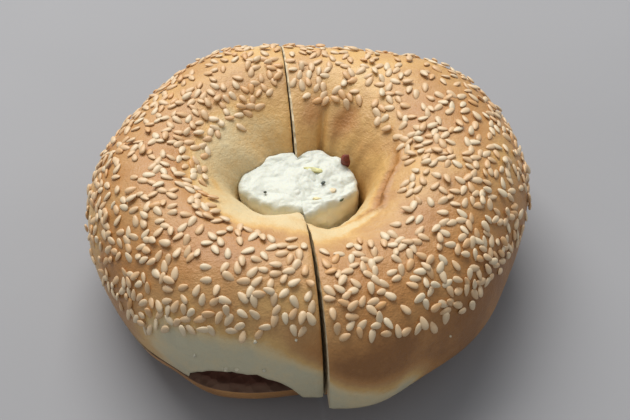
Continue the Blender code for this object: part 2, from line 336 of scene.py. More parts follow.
@lru_cache(maxsize=4096)
def crest_height(theta):
    return HEIGHT + sum(high * math.sin(turns * theta + start) for turns, start, high in SWELLS)


@lru_cache(maxsize=4096)
def funnel_power(theta):
    return PLUMP_FUNNEL + PLUMP_LIP * bell(math.degrees(theta), LIP_AT, LIP_SPREAD)


@lru_cache(maxsize=4096)
def tuck(theta):
    """How far the lower bread's outside is tucked in."""
    return lumps(TUCKS, math.degrees(theta))


def ring_point(theta, phi, tucked=0.0):
    """A point of the crust: theta is the plan angle, phi goes round the section.

    phi is 0 on the widest line, 90 degrees on the crest and 180 in the throat.
    """
    angle = math.degrees(theta)
    outside, inside = outer_radius(theta) - tucked, hole_radius(theta)
    crest = CREST_SHARE * outside + CREST_INSIDE + CREST_LEAN * math.cos(theta)
    across, up = math.cos(phi), math.sin(phi)
    if up < 0.0:
        power = PLUMP_BELOW
        if across > 0.0:
            power += PLUMP_UNDER_MOUTH * bell(angle, MOUTH_AT, MOUTH_SPREAD)
    elif across >= 0.0:
        power = PLUMP_OUTSIDE
    else:
        power = funnel_power(theta)
    reach = outside - crest if across >= 0.0 else crest - inside
    radius = crest + reach * rounded(across, power)
    section = math.degrees(phi)
    for at, wide, inward, section_at, section_wide in FOLDS:
        radius -= inward * bell(angle, at, wide) * bell(section, section_at, section_wide)
    middle = THROAT_HEIGHT + (GIRTH_HEIGHT - THROAT_HEIGHT) * (1.0 + across) / 2.0
    if up >= 0.0:
        height = middle + (crest_height(theta) - middle) * rounded(up, power)
    else:
        height = max(0.0, middle + (middle + BASE_SINK) * rounded(up, power))
    return Vector((radius * math.cos(theta), radius * math.sin(theta), height))


def slip_share(y):
    """How much of the front's slip a point of the upper right piece gets."""
    return 1.0 - ease(y, SLIP_END, SLIP_START)


def slipped(point):
    return point - Vector((0.0, FRONT_SLIP * slip_share(point.y), 0.0))


def placement(side):
    """Opens the right side's front a little, then moves the piece to its place."""
    place = Matrix.Translation(RING_AT)
    if side == "right":
        hinge = Vector((CUT_X, HALF_DEPTH, 0.0))
        turn = Matrix.Rotation(math.radians(OPENING_DEGREES), 4, "Z")
        place = place @ Matrix.Translation(hinge) @ turn @ Matrix.Translation(-hinge)
    return place


def slice_level(x, y, side, level):
    """Height of the cut face, which gapes at the front left of the upper half."""
    if level == "bottom":
        return SLICE_HEIGHT - GAP / 2
    height = SLICE_HEIGHT + GAP / 2
    if side == "left":
        turn = math.atan2(y, x) - math.radians(MOUTH_AT)
        far = math.hypot(x, y)
        along = (far * math.cos(turn) - MOUTH_RADIUS) / MOUTH_HALF_DEPTH
        aside = far * math.sin(turn) / (MOUTH_LEFT_WIDTH if turn < 0.0 else MOUTH_HALF_WIDTH)
        lift = max(0.0, 1.0 - along * along - aside * aside) ** 0.5
        tear = sum(
            high * noise.noise(Vector((turn * fine, start, 0.0))) for fine, start, high in TEARS
        )
        height += (MOUTH_HEIGHT + tear) * lift
    return height


def rows_about(table, angle):
    """The two rows of a table about a plan angle, and how far it lies between them."""
    for first, last in zip(table, table[1:]):
        if first[0] <= angle <= last[0]:
            return first, last, (angle - first[0]) / (last[0] - first[0])
    return table[-1], table[-1], 0.0


def along_line(line, angle):
    """What a table of (plan angle, value) holds at a plan angle, smoothly joined up."""
    angle = angle % 360.0
    if angle < line[0][0]:
        angle += 360.0
    elif angle > line[-1][0]:
        angle -= 360.0
    first, last, share = rows_about(line, angle)
    return mix(first[1], last[1], ease(share, 0.0, 1.0))


@lru_cache(maxsize=4096)
def lip_lines(theta):
    """Section angles of the ridge and of the skin's edge, both a little ragged."""
    angle = math.degrees(theta)
    slow = noise.noise(Vector((math.cos(theta) * 14.0, math.sin(theta) * 14.0, 4.0)))
    quick = noise.noise(Vector((math.cos(theta) * 45.0, math.sin(theta) * 45.0, 9.0)))
    ragged = RIDGE_WANDER * (0.5 * slow + 0.5 * quick)
    return along_line(RIDGE_LINE, angle) + ragged, along_line(SKIN_EDGE, angle) + ragged


def ridge_shares(theta, phi, angle, section):
    """How much of the ridge, and of the hollow just inside it, a place of the crust gets."""
    along = bell(angle, RIDGE_AT, RIDGE_SPREAD)
    if along < 0.01:
        return 0.0, 0.0
    at, _ = lip_lines(theta)
    crackle = 0.95 + 0.4 * noise.noise(Vector((theta * 20.0, phi * 4.0, 5.0)))
    ridge = along * crackle * bell(section, at, RIDGE_SECTION_SPREAD)
    hollow = along * crackle * bell(section, at + RIDGE_HOLLOW_AFTER, RIDGE_HOLLOW_SPREAD)
    return ridge, hollow


def crust_offset(theta, phi, point, dough):
    """How far the real crust stands out from the plain ring."""
    angle, section = math.degrees(theta), math.degrees(phi) % 360.0
    slow = noise.noise(point * 75.0) * dough.lump_height
    grain = noise.noise(point * 330.0) * dough.grain_height
    in_hole = ease(section, 118.0, 150.0) * (1.0 - ease(section, 200.0, 230.0))
    creases = noise.noise(Vector((math.cos(theta) * 7.0, math.sin(theta) * 7.0, point.z * 30.0)))
    ridge, hollow = ridge_shares(theta, phi, angle, section)
    lip = ridge * RIDGE_HEIGHT - hollow * RIDGE_HOLLOW
    return slow + grain + creases * CREASE_HEIGHT * in_hole + lip


def curled(point):
    """A point of the upper bread, drawn in where its rim curls under."""
    far = point.xy.length
    angle = math.degrees(math.atan2(point.y, point.x))
    low = 1.0 - ease(point.z, SLICE_HEIGHT, RIM_CURL_TOP)
    inward = 1.0 - RIM_CURL * bell(angle, RIM_CURL_AT, RIM_CURL_SPREAD) * low / far
    return Vector((point.x * inward, point.y * inward, point.z))


def wall_tone(angle, section):
    """How hard the wall of the hole is baked."""
    tone = WALL_TONE + lumps(WALL_TONES, angle)
    for at, wide, section_at, section_wide, much in WALL_SPOTS:
        tone += much * bell(angle, at, wide) * bell(section, section_at, section_wide)
    return tone


def skin_tone(angle, section):
    """How hard the crust outside the hole is baked, and paler at the back with painted sheen."""
    tone = CRUST_TONE
    for at, wide, fade_from, fade_to, much in CRUST_TONES:
        tone += much * bell(angle, at, wide) * (1.0 - ease(section, fade_from, fade_to))
    return tone


def flour(angle, section, theta, point):
    """How much of the pale band low on the crust shows: whole on the front, patchy behind."""
    wave = 9.0 * noise.noise(point * 60.0)
    top = mix(34.0, 17.0, ease(angle, 256.0, 272.0)) - 7.0 * ease(angle, 272.0, 288.0)
    front = ease(angle, 214.0, 232.0) * (1.0 - ease(angle, 286.0, 298.0))
    patchy = 0.30 + noise.noise(Vector((theta * 2.0, 7.0, 0.0)))
    patchy *= 0.6 * (1.0 - bell(angle, 325.0, 42.0))
    share = max(front, min(1.0, max(0.0, patchy)))
    return share * (1.0 - ease(section + wave, top - 15.0, top + 9.0))


def browning_and_sheen(theta, phi, point, level):
    """How hard the crust is baked, with painted sheen at the back: 0 is floury, 0.2 pale, 0.6 golden
    and 1 brown.
    """
    angle, section = math.degrees(theta), math.degrees(phi) % 360.0
    if section > 270.0:
        section -= 360.0
    patches = 0.20 * noise.noise(point * 55.0) + 0.10 * noise.noise(point * 160.0)
    if level == "bottom":
        return min(1.0, max(0.5, BASE_TONE - 0.3 * ease(section, 150.0, 190.0) + patches))
    _, wall_from = lip_lines(theta)
    wide = mix(16.0, SKIN_SHARPNESS, min(1.0, 1.3 * bell(angle, RIDGE_AT, RIDGE_SPREAD)))
    in_hole = ease(section, wall_from, wall_from + wide)
    tone = mix(skin_tone(angle, section), wall_tone(angle, section), in_hole)
    ridge, hollow = ridge_shares(theta, phi, angle, section)
    tone += RIDGE_TONE * ridge + HOLLOW_TONE * hollow
    brown = bell(angle, 281.0, 17.0) * bell(section, 27.0, 13.0)
    brown = max(brown, 0.95 * bell(angle, 305.0, 19.0) * (1.0 - ease(section, 20.0, 42.0)))
    tone = mix(tone, BROWN_TONE, brown)
    tone = mix(tone, FLOURY_TONE, flour(angle, section, theta, point))
    patches *= mix(1.0 if tone > 0.1 else 0.5, 0.45, in_hole)
    return min(1.0, max(LEAST_WALL_TONE * in_hole, tone + patches))


def edge_phi(theta, inner, side, level, tucked):
    """The section angle at which the crust meets the level cut."""
    low, high = (250.0, 100.0) if inner else (-60.0, 80.0)
    low, high = math.radians(low), math.radians(high)
    for _ in range(20):
        middle = (low + high) / 2
        point = ring_point(theta, middle, tucked)
        if point.z < slice_level(point.x, point.y, side, level):
            low = middle
        else:
            high = middle
    return (low + high) / 2


def section_phi(share, edges, level):
    """Section angle of a crust point, from the outer edge round to the inner one. The
    upper bread has its steps closest together about the lip of the hole."""
    outer, inner = edges
    if level == "bottom":
        return mix(outer, inner - math.tau, share)
    angles = (outer, *(math.radians(a) for a in LIP_ANGLES), inner)
    for first, (start, end) in enumerate(zip(LIP_SHARES, LIP_SHARES[1:])):
        if share <= end:
            return mix(angles[first], angles[first + 1], (share - start) / (end - start))
    return inner


def spin_section(bm):
    """A round section off to the side of the Z axis, spun into a ring."""
    made = bmesh.ops.create_circle(bm, segments=CRUST_STEPS + CUT_STEPS, radius=SPUN_RADIUS)
    stand = Matrix.Translation((1.0, 0.0, 0.0)) @ Matrix.Rotation(math.pi / 2, 4, "X")
    bmesh.ops.transform(bm, matrix=stand, verts=made["verts"])
    bmesh.ops.spin(
        bm, geom=made["verts"] + list(bm.edges), cent=(0.0, 0.0, 0.0), axis=(0.0, 0.0, 1.0),
        dvec=(0.0, 0.0, 0.0), angle=math.tau, steps=RING_TURNS, use_merge=True,
        use_normal_flip=False, use_duplicate=False,
    )


def crust_place(theta, phi, step, tucked, level, dough):
    """Where a vertex of the crust lies. The two edges of the level cut stay plain."""
    point = ring_point(theta, phi, tucked)
    outward = Vector(
        (math.cos(phi) * math.cos(theta), math.cos(phi) * math.sin(theta), math.sin(phi))
    )
    if 0 < step < CRUST_STEPS:
        point = point + outward * crust_offset(theta, phi, point, dough)
    point.z = max(0.0, point.z)
    return curled(point) if level == "top" else point


def cut_place(theta, along, edges, tucked, side, level):
    """Where a vertex of the level cut lies, along running from the hole outwards, and
    how far it lies behind the rim."""
    outer, inner = edges
    start, end = (ring_point(theta, phi, tucked) for phi in (inner, outer))
    radius = mix(start.xy.length, end.xy.length, 1.0 - (1.0 - along) ** 2)
    x, y = radius * math.cos(theta), radius * math.sin(theta)
    point = Vector((x, y, slice_level(x, y, side, level)))
    return (curled(point) if level == "top" else point), end.xy.length - radius


def shape_bread(bm, side, level, dough):
    """Moves the spun ring's vertices to the crust and to the level cut."""
    tone, crumb, gap_shade = (bm.verts.layers.float[key] for key in BREAD_LAYERS)
    steps = CRUST_STEPS + CUT_STEPS
    edge_cache = {}
    for vertex in bm.verts:
        x, y, z = vertex.co
        theta = round(math.atan2(y, x) % math.tau, 5)
        tucked = tuck(theta) if level == "bottom" else 0.0
        if theta not in edge_cache:
            edge_cache[theta] = [
                edge_phi(theta, inner, side, level, tucked) for inner in (False, True)
            ]
        edges = edge_cache[theta]
        step = round(math.atan2(z, math.hypot(x, y) - 1.0) % math.tau / math.tau * steps) % steps
        depth = 0.0
        if step <= CRUST_STEPS:
            phi = section_phi(step / CRUST_STEPS, edges, level)
            vertex.co = crust_place(theta, phi, step, tucked, level, dough)
            vertex[tone] = browning_and_sheen(theta, phi, vertex.co, level)
        else:
            along = (step - CRUST_STEPS) / CUT_STEPS
            vertex.co, depth = cut_place(theta, along, edges, tucked, side, level)
            vertex[crumb] = 1.0
        # Painted shade on the left side's cut faces at the mouth, deepest behind the rim.
        if side == "left" and (step >= CRUST_STEPS or step == 0):
            at_mouth = min(1.0, 2.5 * bell(math.degrees(theta), MOUTH_AT, MOUTH_SPREAD))
            vertex[gap_shade] = at_mouth * mix(RIM_SHADE, 1.0, ease(depth, *RIM_DEPTHS))


def cut_bread(bm, side, level):
    """Cuts the ring at the knife's plane, rounds the cut's edge over and closes it."""
    crumb = bm.verts.layers.float["crumb"]
    hand = SIDES[side]
    face = CUT_X + hand * KNIFE_GAP / 2
    for inset, clear in ((0.0, True), (TORN_WIDTH, False), (EDGE_WIDTH, False)):
        bmesh.ops.bisect_plane(
            bm,
            geom=list(bm.verts) + list(bm.edges) + list(bm.faces),
            dist=1e-7,
            plane_co=(face + hand * inset, 0.0, 0.0),
            plane_no=(hand, 0.0, 0.0),
            clear_inner=clear,
        )
    bm.normal_update()
    for vertex in bm.verts:
        away = abs(vertex.co.x - face) / EDGE_WIDTH
        if away < 1.0 and vertex[crumb] < 0.01:
            ragged = 0.8 + 0.9 * noise.noise(vertex.co * 700.0)
            vertex.co -= vertex.normal * EDGE_DROP * ragged * (1.0 - away) ** 2
            vertex.co.z = max(0.0, vertex.co.z)
    torn_from = -0.005 if side == "right" and level == "top" else math.inf
    for face_near in bm.faces:
        near = max(abs(v.co.x - face) for v in face_near.verts) < TORN_WIDTH * 1.3
        cut = any(v[crumb] > 0.5 for v in face_near.verts)
        torn = near and min(v.co.y for v in face_near.verts) > torn_from
        face_near.material_index = 1 if cut or torn else 0
        face_near.smooth = True
    filled = bmesh.ops.holes_fill(bm, edges=[e for e in bm.edges if e.is_boundary], sides=0)
    for cap in filled["faces"]:
        cap.smooth = False
        cap.material_index = 1


def make_bread(name, side, level, dough):
    """A quarter of the bread: one side of the knife cut, above or below the slice."""
    bm = bmesh.new()
    for key in BREAD_LAYERS:
        bm.verts.layers.float.new(key)
    spin_section(bm)
    shape_bread(bm, side, level, dough)
    cut_bread(bm, side, level)
    if side == "right" and level == "top":
        for vertex in bm.verts:
            vertex.co = slipped(vertex.co)
    bmesh.ops.transform(bm, matrix=placement(side), verts=bm.verts)
    bmesh.ops.recalc_face_normals(bm, faces=bm.faces)
    return finished_piece(bm, name)


def finished_piece(bm, name):
    """Turns a finished bmesh into an object whose place is in its mesh."""
    mesh = bpy.data.meshes.new(name)
    bm.to_mesh(mesh)
    bm.free()
    piece = bpy.data.objects.new(name, mesh)
    bpy.context.scene.collection.objects.link(piece)
    return piece


# Materials

BAKED_STOPS = (0.0, 0.20, 0.40, 0.60, 0.78, 1.0)


class Finish:
    """A node material in the making. Its patterns follow the piece's Object coordinates."""

    def __init__(self, name):
        self.material = bpy.data.materials.new(name)
        self.material.use_nodes = True
        self.nodes = self.material.node_tree.nodes
        self.links = self.material.node_tree.links
        self.shader = self.nodes["Principled BSDF"]
        self.where = self.nodes.new("ShaderNodeTexCoord").outputs["Object"]

    def plug(self, value, socket):
        """Links another node's output to a socket, or sets the socket to a value."""
        if isinstance(value, bpy.types.NodeSocket):
            self.links.new(value, socket)
        else:
            socket.default_value = value

    def give(self, name, value):
        """Links or sets one of the shader's inputs."""
        self.plug(value, self.shader.inputs[name])

    def node(self, kind, **inputs):
        """A new node with the named inputs linked or set."""
        made = self.nodes.new(kind)
        for name, value in inputs.items():
            self.plug(value, made.inputs[name])
        return made

    def cloud(self, scale, detail=3.0, roughness=0.55):
        """A cloudy pattern about 0.5."""
        return self.node(
            "ShaderNodeTexNoise", Vector=self.where, Scale=scale, Detail=detail, Roughness=roughness
        ).outputs["Fac"]

    def calc(self, operation, *values):
        """The result of a sum on numbers or other nodes' outputs."""
        made = self.nodes.new("ShaderNodeMath")
        made.operation = operation
        for socket, value in zip(made.inputs, values):
            self.plug(value, socket)
        return made.outputs[0]

    def swayed(self, tone, pattern, share):
        """A tone made uneven by a share of a pattern."""
        sway = self.calc("MULTIPLY", self.calc("SUBTRACT", pattern, 0.5), share)
        return self.calc("ADD", tone, sway)

    def ramp(self, factor, stops):
        """A colour ramp with (place, colour) stops."""
        made = self.node("ShaderNodeValToRGB", Fac=factor)
        stops, elements = list(stops), made.color_ramp.elements
        while len(elements) < len(stops):
            elements.new(0.5)
        for element, (place, colour) in zip(elements, stops):
            element.position = place
            element.color = (*colour, 1.0)
        return made.outputs["Color"]

    def bump(self, height, distance, strength, **normal):
        """A shallow relief, on top of another one where its normal is given."""
        return self.node(
            "ShaderNodeBump", Height=height, Distance=distance, Strength=strength, **normal
        ).outputs["Normal"]

    def attribute(self, name):
        """A value that the piece's vertices carry."""
        made = self.nodes.new("ShaderNodeAttribute")
        made.attribute_name = name
        return made.outputs["Fac"]


def crust_material(name, dough):
    """Baked crust: pale to brown by its browning and painted sheen, blotched, blistered and a little
    shiny.
    """
    crust = Finish(name)
    tone = crust.swayed(crust.attribute("browning_and_sheen"), crust.cloud(190.0, 4.0, 0.6), 0.34)
    tone = crust.swayed(tone, crust.cloud(1100.0, 3.0, 0.6), 0.16)
    tints = (dough.floury, dough.pale, dough.tanned, dough.golden, dough.amber, dough.brown)
    crust.give("Base Color", crust.ramp(tone, zip(BAKED_STOPS, tints)))
    shine = crust.calc("MULTIPLY", crust.cloud(420.0, 2.0), 0.22)
    crust.give("Roughness", crust.calc("ADD", 0.36, shine))
    crust.give("Coat Weight", 0.06)
    crust.give("Coat Roughness", 0.35)
    blisters = crust.bump(crust.cloud(620.0, 5.0, 0.62), 0.0006, 0.55)
    crust.give("Normal", crust.bump(crust.cloud(2300.0, 2.0, 0.5), 0.00018, 0.6, Normal=blisters))
    return crust.material


def crumb_material(name, dough):
    """Cut bread: creamy with open pores painted darker as shade, and painted shade where the gap at
    the front is deep.
    """
    bread = Finish(name)
    pores = bread.node("ShaderNodeTexVoronoi", Vector=bread.where, Scale=420.0).outputs["Distance"]
    light = tuple(dough.crumb)
    # Painted shade in the pores: the crumb is darker where they lie.
    dark = tuple(c * 0.55 for c in light)
    # Painted shade in the gap at the front, mixed in by the attribute.
    blend = bread.nodes.new("ShaderNodeMix")
    blend.data_type = "RGBA"
    bread.plug(bread.attribute("gap_shade"), blend.inputs["Factor"])
    bread.plug(bread.ramp(pores, ((0.1, dark), (0.45, light))), blend.inputs["A"])
    bread.plug((*dough.gap_shade, 1.0), blend.inputs["B"])
    bread.give("Base Color", blend.outputs["Result"])
    bread.give("Roughness", 0.85)
    bread.give("Normal", bread.bump(pores, 0.0012, 0.7))
    return bread.material


def seed_material(name, seeds):
    """Hulled seed: cream to toasted from seed to seed, with a soft shine."""
    hull = Finish(name)
    tone = hull.swayed(hull.attribute("toast"), hull.cloud(900.0, 2.0), 0.35)
    hull.give("Base Color", hull.ramp(tone, ((0.0, seeds.pale), (1.0, seeds.toasted))))
    hull.give("Roughness", 0.42)
    return hull.material


def cheese_material(name, cheese):
    """Soft cheese: white on top, with painted bounce light from the bread making its sides cream."""
    curd = Finish(name)
    # Painted bounce light: how much of the sides' cream shows.
    bread_bounce = curd.swayed(curd.attribute("bread_bounce"), curd.cloud(260.0), 0.5)
    curd.give("Base Color", curd.ramp(bread_bounce, ((0.30, cheese.white), (1.0, cheese.side_bounce))))
    curd.give("Roughness", 0.5)
    curd.give("Subsurface Weight", 0.15)
    curd.give("Subsurface Radius", (0.002, 0.0016, 0.001))
    curd.give("Normal", curd.bump(curd.cloud(800.0, 3.0, 0.5), 0.0005, 0.4))
    return curd.material


def plain_material(name, colour):
    """A small crumb's or fleck's material: one colour, mottled."""
    speck = Finish(name)
    mottle = speck.cloud(900.0)
    dark = tuple(c * 0.7 for c in colour)
    light = tuple(min(1.0, c * 1.2) for c in colour)
    speck.give("Base Color", speck.ramp(mottle, ((0.3, dark), (0.7, light))))
    speck.give("Roughness", 0.55)
    speck.give("Normal", speck.bump(mottle, 0.0003, 0.5))
    return speck.material


# Seeds

SEED_BATCH = 10
SEED_TURNS = 8
SEED_RINGS = 6
SEED_TAPER = 0.26
SEED_TRIES = 30000
SEED_DRAW = 17
SEED_CUT_CLEARANCE = 0.0013
SEED_PROUD = 0.00018
SEED_THINNING = 0.25
SEED_TILT = 0.16
SEED_SIZES = (0.88, 1.10)
SEED_TONE = 0.34
SEED_TONE_SPREAD = 0.22
BACK_SEED_TONE = 0.22
SEED_TIP_TONE = 0.35
LIFTED_SHARE = 0.12
LIFTED_BY = 0.0005
CLUMP_SCALE = 120.0
CLUMP_BASE = 0.62
CLUMP_SWING = 1.05
# Where seeds lie in the section, by plan angle: (angle, lowest phi, highest phi), degrees.
SEEDED_BAND = (
    (0.0, 4.0, 124.0), (15.0, 2.0, 127.0), (40.0, 2.0, 121.0), (65.0, 2.0, 122.0),
    (77.0, 2.0, 126.0), (88.0, 2.0, 117.0), (96.0, 2.0, 110.0), (110.0, 2.0, 117.0),
    (125.0, 2.0, 125.0), (140.0, 2.0, 126.0), (155.0, 2.0, 121.0), (185.0, 8.0, 126.0),
    (205.0, 7.0, 119.0), (222.0, 14.0, 111.0), (232.0, 27.0, 110.0), (245.0, 37.0, 110.0),
    (262.0, 38.0, 108.0), (270.0, 43.0, 107.0), (285.0, 37.0, 106.0), (300.0, 27.0, 104.0),
    (312.0, 28.0, 106.0), (328.0, 19.0, 112.0), (343.0, 10.0, 118.0), (360.0, 4.0, 122.0),
)


def seeded_band(angle):
    """Lowest and highest section angle with seeds at a plan angle, in degrees."""
    first, last, share = rows_about(SEEDED_BAND, angle)
    return mix(first[1], last[1], share), mix(first[2], last[2], share)


def skin_frame(theta, phi, dough):
    """A point of the finished crust with its outward normal."""
    step = 0.01
    point = ring_point(theta, phi)
    along = ring_point(theta + step, phi) - ring_point(theta - step, phi)
    round_section = ring_point(theta, phi + step) - ring_point(theta, phi - step)
    normal = along.cross(round_section).normalized()
    return point + normal * crust_offset(theta, phi, point, dough), normal


def seed_places(side, seeds, dough, draw):
    """Seeds' places on one side: (point, normal, plan angle, section angle) for each."""
    places = []
    cells = {}
    size = seeds.spacing
    for _ in range(SEED_TRIES):
        if len(places) >= seeds.count:
            break
        theta = draw.uniform(0.0, math.tau)
        angle = math.degrees(theta)
        low, high = seeded_band(angle)
        section = draw.uniform(low - 3.0, high + 2.0)
        chance = draw.random()
        point, normal = skin_frame(theta, math.radians(section), dough)
        clump = CLUMP_BASE + CLUMP_SWING * noise.noise(point * CLUMP_SCALE)
        edge = min(ease(section, low - 3.0, low + 8.0), 1.0 - ease(section, high - 6.0, high + 2.0))
        bare = 1.0 - 0.5 * bell(angle, 300.0, 30.0) * ease(section, 86.0, 100.0)
        sparse = 1.0 - 0.35 * bell(angle, 262.0, 40.0)
        if chance > min(1.0, clump + 0.35) * edge * bare * sparse:
            continue
        if (point.x - CUT_X) * SIDES[side] < SEED_CUT_CLEARANCE:
            continue
        cell = tuple(int(math.floor(c / size)) for c in point)
        near = (
            other
            for dx in (-1, 0, 1)
            for dy in (-1, 0, 1)
            for dz in (-1, 0, 1)
            for other in cells.get((cell[0] + dx, cell[1] + dy, cell[2] + dz), ())
        )
        if any((point - other).length < size for other in near):
            continue
        cells.setdefault(cell, []).append(point)
        places.append((point, normal, angle, section))
    return places


def add_seed(bm, toast, place, seeds, draw):
    """Adds one seed, flat, pointed at one end and lying on the crust."""
    point, normal, angle, section = place
    verts = bmesh.ops.create_uvsphere(
        bm, u_segments=SEED_TURNS, v_segments=SEED_RINGS, radius=0.5
    )["verts"]
    bmesh.ops.rotate(bm, verts=verts, matrix=Matrix.Rotation(math.pi / 2, 3, "Y"))
    shade = draw.gauss(SEED_TONE, SEED_TONE_SPREAD) + BACK_SEED_TONE * bell(angle, 110.0, 70.0)
    for vertex in verts:
        vertex.co.y *= 1.0 - SEED_TAPER * 2.0 * vertex.co.x
        vertex.co.z *= 1.0 - SEED_THINNING * 2.0 * vertex.co.x
        vertex[toast] = min(1.0, max(0.0, shade + SEED_TIP_TONE * max(0.0, vertex.co.x)))
    size = draw.uniform(*SEED_SIZES)
    scale = (seeds.length * size, seeds.width * size, seeds.thickness * size)
    bmesh.ops.scale(bm, verts=verts, vec=scale)
    pitch = Matrix.Rotation(draw.gauss(0.0, SEED_TILT), 3, "Y")
    roll = Matrix.Rotation(draw.gauss(0.0, SEED_TILT), 3, "X")
    turn = Matrix.Rotation(draw.uniform(0.0, math.tau), 3, "Z")
    lie = normal.to_track_quat("Z", "X").to_matrix() @ turn @ pitch @ roll
    bmesh.ops.rotate(bm, verts=verts, matrix=lie)
    lift = SEED_PROUD + (LIFTED_BY if draw.random() < LIFTED_SHARE else 0.0)
    bmesh.ops.translate(bm, verts=verts, vec=point + normal * lift)


def append(bm, small):
    """Adds a small bmesh to a big one, and frees the small one."""
    spare = bpy.data.meshes.new("spare")
    small.to_mesh(spare)
    small.free()
    bm.from_mesh(spare)
    bpy.data.meshes.remove(spare)


def make_seeds(name, side, seeds, dough):
    """All the seeds on one side of the knife cut, as one mesh made in small batches."""
    draw = random.Random(SEED_DRAW + SIDES[side])
    bm = bmesh.new()
    bm.verts.layers.float.new("toast")
    places = seed_places(side, seeds, dough, draw)
    for first in range(0, len(places), SEED_BATCH):
        batch = bmesh.new()
        toast = batch.verts.layers.float.new("toast")
        for place in places[first : first + SEED_BATCH]:
            add_seed(batch, toast, place, seeds, draw)
        append(bm, batch)
    if side == "right":
        for vertex in bm.verts:
            vertex.co = slipped(vertex.co)
    bmesh.ops.transform(bm, matrix=placement(side), verts=bm.verts)
    for face in bm.faces:
        face.smooth = True
    bmesh.ops.recalc_face_normals(bm, faces=bm.faces)
    return finished_piece(bm, name)


# Cheese

PLUG_TURNS = 200
PLUG_RINGS = 110
CHEESE_GAP = 0.0004
LAYER_SIDES = 120
PLUG_BASE = 0.0065
PLUG_LEVEL = 0.0280
PLUG_RISE = 0.05
SHOULDER = 0.0016
TOP_SHARE = 0.50
SHOULDER_SHARE = 0.64
SIDE_SHARE = 0.92
SIDE_SPREAD = 0.0075
# The edge of the cheese's top as it lies after the slip: plan angle about PLUG_AT and radius.
PLUG_EDGE_LEFT = (
    (90.0, 0.0118), (96.0, 0.0118), (111.0, 0.0122), (126.0, 0.0129), (140.0, 0.0135),
    (153.0, 0.0147), (168.0, 0.0147), (178.0, 0.0143), (186.0, 0.0127), (198.0, 0.0106),
    (215.0, 0.0087), (242.0, 0.0069), (270.0, 0.0071),
)
PLUG_EDGE_RIGHT = (
    (-90.0, 0.0092), (-80.0, 0.0088), (-60.0, 0.0086), (-48.0, 0.0089), (-29.0, 0.0109),
    (-8.0, 0.0140), (16.0, 0.0143), (38.0, 0.0139), (47.0, 0.0130), (57.0, 0.0133),
    (78.0, 0.0121), (90.0, 0.0119),
)


def wall_radius(theta, height):
    """Plan radius of the hole's wall at a height."""
    above, below = math.radians(92), math.radians(262)
    for _ in range(16):
        phi = (above + below) / 2
        if ring_point(theta, phi).z > height:
            above = phi
        else:
            below = phi
    return ring_point(theta, below).xy.length


def curd_relief(x, y, cheese):
    """Height of the lumps on the cheese's top."""
    at = Vector((x, y, 0.0))
    broad = noise.noise(at * 150.0 + Vector((3.0, 1.0, 0.0)))
    middle = 2.0 * abs(noise.noise(at * 260.0 + Vector((0.0, 0.0, 1.7)))) - 0.5
    fine = 2.0 * abs(noise.noise(at * 620.0)) - 0.4
    rough = mix(0.5, 1.0, ease(x, -0.006, 0.002))
    return cheese.lump_height * (0.7 * broad + rough * (0.55 * middle + 0.22 * fine))


def plug_edge(theta):
    """Radius of the top's edge about PLUG_AT, which jumps at the knife cut."""
    angle = math.degrees(theta) % 360.0
    return along_line(PLUG_EDGE_LEFT if 90.0 < angle < 270.0 else PLUG_EDGE_RIGHT, angle)


def plug_point(theta, share, cheese):
    """A point of the cheese in the hole. share runs from 0 in the middle of the top
    over the edge and down the side to 1 in the middle of the base."""
    ragged = 1.0 + 0.02 * noise.noise(Vector((math.cos(theta) * 4.0, math.sin(theta) * 4.0, 2.0)))
    edge = plug_edge(theta) * ragged
    heading = Vector((math.cos(theta), math.sin(theta), 0.0))
    inner = PLUG_AT + heading * (edge - SHOULDER)
    top = PLUG_LEVEL + PLUG_RISE * inner.y
    if share <= TOP_SHARE:
        point = PLUG_AT + heading * (edge - SHOULDER) * (share / TOP_SHARE)
        point.z = PLUG_LEVEL + PLUG_RISE * point.y
    elif share <= SHOULDER_SHARE:
        turn = (share - TOP_SHARE) / (SHOULDER_SHARE - TOP_SHARE) * math.pi / 2
        point = inner + heading * SHOULDER * math.sin(turn)
        point.z = top - SHOULDER * (1.0 - math.cos(turn))
    else:
        down = min(1.0, (share - SHOULDER_SHARE) / (SIDE_SHARE - SHOULDER_SHARE))
        point = PLUG_AT + heading * edge
        point.z = mix(top - SHOULDER, PLUG_BASE, down**1.5)
        room = wall_radius(math.atan2(point.y, point.x), point.z) - CHEESE_GAP
        outside = max(0.0, room / math.hypot(point.x, point.y) - 1.0)
        spread = 1.0 + outside * ease(top - point.z, SHOULDER, SIDE_SPREAD)
        point.x, point.y = point.x * spread, point.y * spread
        if share > SIDE_SHARE:
            fade = (1.0 - share) / (1.0 - SIDE_SHARE)
            point.x, point.y = mix(PLUG_AT.x, point.x, fade), mix(PLUG_AT.y, point.y, fade)
    relief = 1.0 - 0.8 * ease(share, TOP_SHARE, SHOULDER_SHARE + 0.05)
    point.z += curd_relief(point.x, point.y, cheese) * relief
    point += heading * 0.00035 * noise.noise(point * 500.0) * ease(share, TOP_SHARE, SHOULDER_SHARE)
    return held_by_wall(point)


def held_by_wall(point):
    """The point, moved in to the wall of the hole where it would lie in the bread."""
    slip = FRONT_SLIP if point.x > CUT_X and point.z > SLICE_HEIGHT else 0.0
    level = Vector((point.x, point.y + slip * slip_share(point.y), 0.0))
    room = wall_radius(math.atan2(level.y, level.x), max(0.0, point.z)) - CHEESE_GAP
    if level.length > room:
        point = point + level * (room / level.length - 1.0)
    return point


